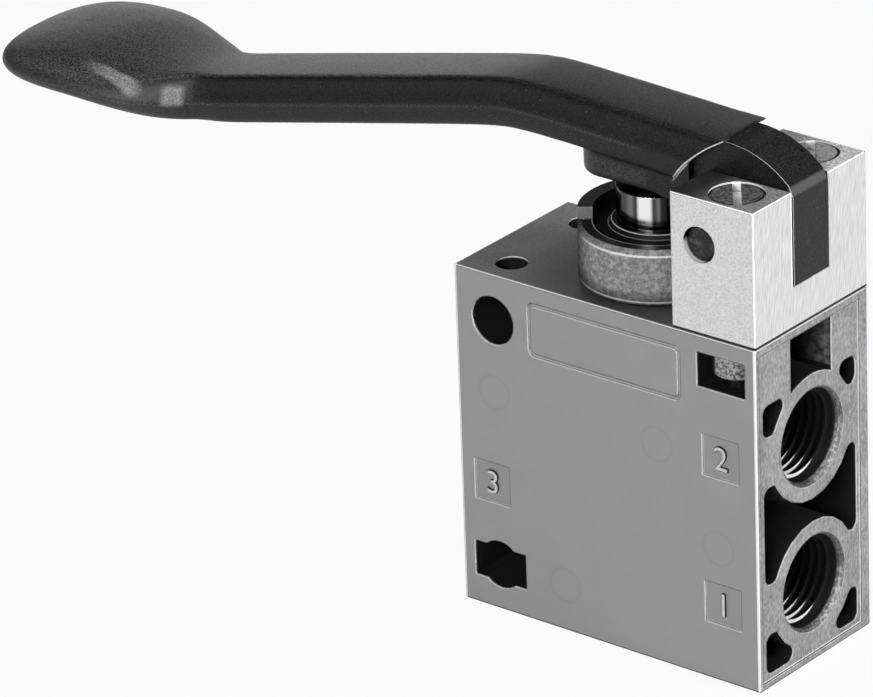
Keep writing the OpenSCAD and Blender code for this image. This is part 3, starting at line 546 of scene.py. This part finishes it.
# Painted highlights run along the chamfer's foot, the collar's top edge and its foot
chamfer_highlight = tall.near(chamfer_foot, 0.0002) * (reach > collar_radius - 0.00012) * lit.ramp(0.5, 0.85)
top_edge_highlight = tall.near(collar_top, 0.00012) * reach.near(collar_radius - 0.00085, 0.0002) * (1 - upward)
foot_highlight = tall.near(foot_height + 0.0003, 0.00015) * (reach > collar_radius - 0.0001)
foot_highlight = foot_highlight * lit.ramp(0.3, 0.8)
# The lugs' end faces get painted light and their sides painted shade, and faces that look up are
# painted dark as shade
lug_ends = on_lug * (1 - upward) * abs(face_y).ramp(0.75, 0.9)
lug_sides = on_lug * (1 - upward) * (1 - lug_ends)
tone = skin + chamfer_highlight * 0.5 + top_edge_highlight * 0.4 + foot_highlight * 0.35
tone = tone * (1 - lug_sides * 0.6) + lug_ends * 0.35
tone = tone * (1 - upward) + upward * (0.018 + on_lug * (0.02 + pits * 0.03))
# A painted highlight runs around the well's edge and along the lugs' edges; the well and the part below
# the foot are painted dark as shade
well_highlight = reach.near(well_radius + 0.0001, 0.0001) * upward * (1 - on_lug)
in_well = reach.fall(well_radius, well_radius + 0.00005)
tone = (tone + edge * on_lug * 0.5 + well_highlight * 0.5) * (1 - in_well * 0.96)
tone = tone * tall.ramp(foot_height - 0.0002, foot_height - 0.00005, 0.1, 1.0)
tone.into(bonnet_shader, "Base Color")
(0.5 + (pits - 0.5) * 0.25 + lit.fall(0.35, 0.75) * 0.35).into(bonnet_shader, "Roughness")
bumped(place, pits + patches * 0.6, 0.00003, rounded).into(bonnet_shader, "Normal")
dress("guide_bonnet", bonnet)


# The sealing rings and the wiper are black nitrile rubber, moulded with a fine matt skin. The
# wiper sits in the bonnet's well, and only the two edges of its lip get a painted highlight.
wiper_lip_radius = 0.00614
wiper_rim_radius = 0.0066
wiper_foot = 0.0578


def rubber_finish(name, gloss, lip_highlight=0.0):
    """Black moulded rubber; gloss is its roughness, and the last argument is how bright the painted
    highlight on the lip's edges is.
    """
    material, shader, place = begin_finish(name, Specular_IOR_Level=0.15)
    rounded = rounded_normal(place, 0.0001)
    dust = place.noise(0.0004, 3.0)
    across, deep, tall = split(place)
    reach = from_axis(across, deep)
    lip_highlight_lines = reach.near(wiper_lip_radius, 0.00009) + reach.near(wiper_rim_radius, 0.00008) * 0.5
    lip_highlight_lines = lip_highlight_lines * (tall > wiper_foot)
    (0.004 + dust * 0.008 + lip_highlight_lines * lip_highlight).into(shader, "Base Color")
    (gloss + (dust - 0.5) * 0.2).into(shader, "Roughness")
    bumped(place, dust, 0.00001, rounded).into(shader, "Normal")
    return material


dress("wiper_seal", rubber_finish("wiper_rubber", 0.5, 0.6))
seal_rubber = rubber_finish("nitrile_rubber", 0.55)
for ring_name in ("plunger_o_ring", "bonnet_o_ring", "carrier_o_ring", "stem_o_ring",
                  "seat_o_ring", "plug_o_ring", "poppet_seal"):
    dress(ring_name, seal_rubber)


# The plunger is hardened steel, ground and polished. Grinding leaves very fine rings around it,
# and a painted reflection leaves it bright in narrow upright stripes and dark in soft upright stripes
# between.
highlight_turn = math.radians(-71)


def ground_steel(name, tone, roughness, ring_depth, reflection_bands=0.0):
    """Steel turned about the vertical axis; the last argument is how much a painted reflection darkens
    it away from its bright upright stripes.
    """
    material, shader, place = begin_finish(name, Metallic=1.0)
    rings = place.noise(0.00008, 2.0, (80, 80, 1))
    stain = place.noise(0.003, 2.0)
    rounded = rounded_normal(place, 0.0001)
    shade = tone + (stain - 0.5) * 0.1
    if reflection_bands:
        across, deep, tall = split(place)
        turn = place.node("Math", {"operation": "ARCTAN2"}, {0: deep, 1: across})
        wave = place.node("Math", {"operation": "COSINE"}, {0: (turn - highlight_turn) * 2})
        # The painted reflection: bright upright stripes with faint side stripes, dark elsewhere
        clear = wave.ramp(0.90, 0.975) + wave.ramp(0.35, 0.75) * wave.fall(0.75, 0.9) * 0.14
        shade = shade * (1 - reflection_bands) + shade * reflection_bands * clear
    # Edges get a painted highlight
    (shade + edge_mask(place, rounded) * 0.4).into(shader, "Base Color")
    (roughness + (rings - 0.5) * 0.06).into(shader, "Roughness")
    bumped(place, rings, ring_depth, rounded).into(shader, "Normal")
    return material


dress("plunger", ground_steel("ground_plunger", 0.85, 0.14, 0.0000008, 0.94))
dress("poppet", ground_steel("turned_poppet", 0.5, 0.3, 0.000003))
dress("bottom_plug", ground_steel("turned_plug", 0.45, 0.35, 0.000004))


# The springs are cold-drawn steel wire with ground ends, and the bushes and carriers are turned
# from bronze or brass. All are inside the housing and wear only a fine drawing or turning grain.
def turned_bronze(name, colour):
    """Bronze with turning rings and a little tarnish."""
    material, shader, place = begin_finish(name, Metallic=0.9)
    rings = place.noise(0.0001, 2.0, (60, 60, 1))
    tarnish = place.noise(0.0015, 3.0)
    darker = tuple(0.55 * c for c in colour)
    mixed = place.node(
        "Mix", {"data_type": "RGBA"}, {0: tarnish, 6: (*darker, 1), 7: (*colour, 1)}, out=2
    )
    mixed.into(shader, "Base Color")
    (0.3 + rings * 0.15).into(shader, "Roughness")
    bumped(place, rings, 0.000003, mesh_normal(place)).into(shader, "Normal")
    return material


bush_bronze = turned_bronze("sintered_bronze", (0.5, 0.33, 0.15))
for bronze_name in ("guide_bush", "pivot_bush"):
    dress(bronze_name, bush_bronze)
insert_brass = turned_bronze("turned_brass", (0.62, 0.47, 0.2))
for brass_name in ("seal_carrier", "seat_insert"):
    dress(brass_name, insert_brass)
wire_steel = ground_steel("spring_wire", 0.4, 0.32, 0.000002)
for spring_name in ("plunger_spring", "poppet_spring"):
    dress(spring_name, wire_steel)

# The clevis is milled from a bar of bright aluminium. The end face keeps fine upright brush
# marks, the flanks are finely blasted, and every edge is broken, with painted highlights on the front
# and end edges and painted shade on the back ones.
clevis_top = 0.0695
clevis_start = 0.0115
slot_half = 0.0041
slot_foot = 0.056
pin_across = 0.0162
pin_height = 0.063
screw_across = 0.0193
screw_aside = 0.0082
counterbore_radius = 0.00385
screw_slot_half = 0.0006
screw_slot_turn = math.radians(38)
clevis_edge_width = 0.00013
clevis, clevis_shader, place = begin_finish("milled_clevis", Metallic=0.1, Specular_IOR_Level=0.25)
across, deep, tall = split(place)
face_x, face_y, face_z = facing(place)
rounded = rounded_normal(place, 0.00016)
leaning = place.node("VectorRotate", {"rotation_type": "X_AXIS"}, {"Vector": place, "Angle": 0.18})
brushing = leaning.noise(0.0002, 3.0, (1, 1, 14))
blasting = place.noise(0.0002, 3.0)
on_end = face_x.ramp(0.5, 0.9)
on_top = face_z.ramp(0.5, 0.9)
flank_tone = 0.62 + (blasting - 0.5) * 0.6
end_tone = 0.68 + (brushing - 0.5) * 0.7
# The top is painted darker as shade, most of all beside the arm, and the far ear's top is painted
# lighter, with a mottle
top_mottle = place.noise(0.0005, 3.0).ramp(0.3, 0.7)
top_shaded_tone = 0.035 + across.ramp(0.0135, 0.021) * (0.2 + top_mottle * 0.3) + (deep > 0) * (0.25 + top_mottle * 0.3)
tone = flank_tone + (end_tone - flank_tone) * on_end + (top_shaded_tone - flank_tone) * on_top
to_side = half_width - abs(deep)
to_front = half_width + deep
to_back = half_width - deep
to_top = clevis_top - tall
to_end = half_length - across
# Edges along the front, the end and the slot get a painted highlight, and those at the back painted
# shade
slot_edge = deep.near(-slot_half - 0.0001, 0.0001) * on_end * (tall > slot_foot)
edge_highlight = slot_edge + corner_line(to_top, to_end, clevis_edge_width)
for face in (to_top, to_end):
    edge_highlight = edge_highlight + corner_line(face, to_front, clevis_edge_width)
edge_shade = corner_line(to_top, to_back, shade_line_width) + corner_line(to_end, to_back, shade_line_width)
tone = (tone + edge_highlight) * (1 - edge_shade * 0.9)
# The pin's hole is painted dark as shade behind its mouth, with a painted highlight on its lower left;
# the screws' counterbores are painted light near the top and dark as shade below, and the slot is
# painted dark as shade
mouth = to_side.ramp(0.00002, 0.00005) * (abs(face_y) < 0.3)
mouth = mouth * (to_top > edge_reach) * (to_end > edge_reach) * (across > clevis_start + 0.001)
off_across = across - pin_across
off_tall = tall - pin_height
lower_left = (off_across * -0.6 - off_tall * 0.8) / from_axis(off_across, off_tall)
mouth_tone = lower_left.ramp(0.45, 0.7) * to_side.ramp(0.0006, 0.0009, 1.0, 0.1)
tone = tone * (1 - mouth) + mouth * mouth_tone
off_across = across - screw_across
off_aside = abs(deep) - screw_aside
bore_wall = (1 - on_top) * (from_axis(off_across, off_aside) < counterbore_radius)
# Where a screw's slot points, its counterbore gets a painted highlight seen through it
slot_side = (deep > 0) * 2 - 1
beside_slot = off_across * math.cos(screw_slot_turn) + off_aside * slot_side * math.sin(screw_slot_turn)
bore_tone = to_top.ramp(0.00022, 0.0003, 0.9, 0.02) + (abs(beside_slot) < screw_slot_half) * 0.9
tone = tone * (1 - bore_wall) + bore_wall * bore_tone
in_slot = (abs(deep) < slot_half + 0.00005) * to_end.ramp(0.0001, 0.0003)
# The bottom edge lies in the shade of the joint with the housing
tone = tone * (1 - in_slot * 0.95) * (tall - housing_height).ramp(0.00044, 0.00052, 0.01, 1.0)
tone.into(clevis_shader, "Base Color")
(0.42 + (brushing - 0.5) * 0.2).into(clevis_shader, "Roughness")
bumped(place, brushing * on_end + blasting * 0.6, 0.00001, rounded).into(clevis_shader, "Normal")
dress("clevis_block", clevis)

# Slotted cheese-head screws, zinc plated, hold the clevis; their nuts lie in the housing's
# slots. The heads are dull and spotted on top, and the screwdriver slots get a painted highlight on
# their floors.
head_top = 0.0694
slit_floor = 0.06823
dark_end_height = 0.048
plated, plated_shader, place = begin_finish("zinc_plate", Metallic=0.35, Specular_IOR_Level=0.4)
across, deep, tall = split(place)
face_z = facing(place)[2]
rounded = rounded_normal(place, 0.0001)
edge = edge_mask(place, rounded)
haze = place.noise(0.0005, 3.0)
turning = place.noise(0.00009, 1.0)
upward = face_z.ramp(0.8, 0.95)
in_slit = upward * tall.near(slit_floor, 0.0003)
slit_walls = (1 - upward) * (tall > slit_floor)
# Edges of the head tops get a painted highlight, and the far head's top is painted lighter
tone = 0.05 + haze.ramp(0.3, 0.75) * 0.35 + edge * upward * 0.3 + upward * (deep > 0) * 0.3
# The slit walls are painted light deep down and dark as shade near the top, and the slit floor gets a
# painted highlight
slit_wall_tone = tall.ramp(head_top - 0.0003, head_top - 0.00015, 0.8, 0.02)
tone = tone * (1 - slit_walls) + slit_walls * slit_wall_tone
tone = tone * (1 - in_slit) + in_slit * 0.9
# The threaded end below the nut is much darker
tone = tone * tall.ramp(dark_end_height - 0.0002, dark_end_height + 0.0002, 0.04, 1.0)
tone.into(plated_shader, "Base Color")
(0.4 + (haze - 0.5) * 0.25).into(plated_shader, "Roughness")
bumped(place, turning, 0.000006, rounded).into(plated_shader, "Normal")
dress("clevis_screws", plated)

nut_plate, nut_shader, place = begin_finish("spotted_zinc", Metallic=0.2, Specular_IOR_Level=0.4)
rounded = rounded_normal(place, 0.0001)
edge = edge_mask(place, rounded)
across = split(place)[0]
spots = place.noise(0.00045, 3.0)
# The slot's wall shades the nut on the side away from the port face
in_light = across.ramp(screw_across - 0.0016, screw_across - 0.0012)
# Its edges get a painted highlight
plate = (spots.ramp(0.36, 0.6) * 0.3 + 0.05 + edge * 0.2) * in_light
(plate + 0.01).into(nut_shader, "Base Color")
(0.45 + (spots - 0.5) * 0.25).into(nut_shader, "Roughness")
bumped(place, spots, 0.00002, rounded).into(nut_shader, "Normal")
dress("clamp_nuts", nut_plate)

# The pivot pin is a dowel of hardened steel, blackened against rust. It is driven through both
# ears of the clevis, and the bush in the lever's tongue turns on it.
pin_finish, pin_shader, place = begin_finish("black_oxide", Metallic=0.1, Specular_IOR_Level=0.3)
rounded = rounded_normal(place, 0.0001)
edge = edge_mask(place, rounded)
wear = place.noise(0.0006, 3.0)
(0.012 + wear.ramp(0.4, 0.75) * 0.07 + edge * 0.03).into(pin_shader, "Base Color")
(0.45 + wear * 0.2).into(pin_shader, "Roughness")
bumped(place, wear, 0.000012, rounded).into(pin_shader, "Normal")
dress("pivot_pin", pin_finish)

# The lever is one black glass-filled moulding. Its arm draws in above and below the parting
# line, its grip is a smooth pillow, and the whole skin has the fine grain of the mould.
tongue_half = 0.0038
round_x = 0.0252
round_z = 0.0542
round_radius = 0.02275
top_step_foot = 0.0715
top_step_from = 0.003
top_step_to = 0.017
flank_aside = 0.0046
nape_start = 0.0137
heel_across = 0.0243
heel_height = 0.0693
foot_end_across = 0.009
streak_from = -0.0925
streak_to = -0.081
streak_aside = -0.0102
spot_across = -0.0779
spot_height = 0.06
bpy.ops.object.select_all(action="DESELECT")
nodes["lever"].select_set(True)
bpy.context.view_layer.objects.active = nodes["lever"]
bpy.ops.object.duplicate()
lever = bpy.context.object
lever.name = "lever_moulding"
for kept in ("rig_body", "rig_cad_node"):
    del lever[kept]
lever.parent = None
bpy.ops.object.mode_set(mode="EDIT")
bpy.ops.mesh.select_all(action="SELECT")
bpy.ops.mesh.remove_doubles(threshold=0.000002)
bpy.ops.object.mode_set(mode="OBJECT")
remesh = lever.modifiers.new("even_skin", "REMESH")
remesh.mode = "SHARP"
remesh.octree_depth = 9
remesh.scale = 0.9
remesh.use_remove_disconnected = False
bpy.ops.object.modifier_apply(modifier="even_skin")


def limited(share):
    """A share, held between 0 and 1."""
    return min(1.0, max(0.0, share))


# The arm and grip are smoothed up to the hollow round at the clevis; the tongue stays crisp
arm_group = lever.vertex_groups.new(name="arm")
for vertex in lever.data.vertices:
    from_round = math.hypot(vertex.co.x - round_x, vertex.co.z - round_z) - round_radius
    share = limited((from_round - 0.0003) / 0.002)
    # On top the arm flows into the tongue without a step
    if vertex.co.z > top_step_foot and top_step_from < vertex.co.x < top_step_to:
        share = max(share, limited((tongue_half - 0.0004 - abs(vertex.co.y)) / 0.0008))
    arm_group.add([vertex.index], share, "REPLACE")
smooth = lever.modifiers.new("flowing_skin", "SMOOTH")
smooth.factor = 0.5
smooth.iterations = 24
smooth.vertex_group = "arm"
bpy.ops.object.modifier_apply(modifier="flowing_skin")
bpy.ops.object.shade_smooth_by_angle(angle=math.radians(35))

moulding, moulding_shader, place = begin_finish("black_moulding", Specular_IOR_Level=0.24)
across, deep, tall = split(place)
face_x, face_y, face_z = facing(place)
grain = place.noise(0.00022, 3.0)
flow = place.noise(0.004, 3.0)
sparks = place.noise(0.00035, 1.0).ramp(0.72, 0.8)
upward = face_z.ramp(0.6, 0.95)
outer_arm = (across * -1).ramp(0.018, 0.04)
tone = 0.004 + (flow - 0.5) * 0.004 + grain.ramp(0.35, 0.68) * 0.014 + sparks * 0.07
# Faces that look up are painted lighter, as light falls on them, most of all along the outer arm
tone = tone + upward * (0.018 + outer_arm * 0.042) * grain.ramp(0.35, 0.68, 0.1, 1.9)
# The flanks get a painted highlight along the parting line
parting = abs(face_y).ramp(0.6, 0.9) * abs(face_z).fall(0.01, 0.14) * (across < 0.002)
tone = tone + parting * 0.018 * (0.2 + grain.ramp(0.35, 0.68) * 1.6)
# A painted reflection lies on the waist of the grip: a streak on its shoulder, a spot at the arm's root
# and a lighter grip flank
grip_flank = abs(face_y).ramp(0.3, 0.7) * (across * -1).ramp(0.07, 0.085)
streak = across.ramp(streak_from, streak_from + 0.0055) * across.fall(streak_to - 0.0025, streak_to)
streak = streak * deep.near(streak_aside, 0.0012) * face_z.ramp(0.3, 0.5)
spot = across.near(spot_across, 0.0017) * tall.near(spot_height, 0.0018)
spot = spot * (deep < 0) * face_x.ramp(0.3, 0.5)
painted_reflection = streak * 0.2 + spot * 0.2 + grip_flank * 0.035
tone = tone + painted_reflection * grain.ramp(0.3, 0.72, 0.55, 1.35)
# The foot's end stays in the dark under the arm
foot_end = face_x.ramp(0.7, 0.9) * (abs(across - foot_end_across) < 0.0005)
tone = tone * (1 - foot_end * 0.9)
# The cut of the hollow round through the flank and the tongue's near edge are crisp and get a painted
# highlight, and so does the break at the tongue's end
round_reach = from_axis(across - round_x, tall - round_z)
flank_cut = round_reach.near(round_radius, 0.0002)
flank_cut = flank_cut * (abs(deep) > flank_aside) * tall.ramp(0.0665, 0.069) * (across < 0.018)
near_edge = deep.near(-tongue_half, 0.00014) * (abs(face_y) < 0.8) * (round_reach < round_radius)
near_edge = near_edge * (across > nape_start) * (tall > 0.05)
end_break = tall.near(heel_height, 0.0008) * (across > heel_across)
tone = tone + (flank_cut + near_edge) * 0.7 + end_break * 0.09
tone.into(moulding_shader, "Base Color")
(0.42 + (flow - 0.5) * 0.1 + (grain - 0.5) * 0.2).into(moulding_shader, "Roughness")
bumped(place, grain, 0.00005, mesh_normal(place)).into(moulding_shader, "Normal")
lever.data.materials.clear()
lever.data.materials.append(moulding)
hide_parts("lever")
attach(lever, "lever")
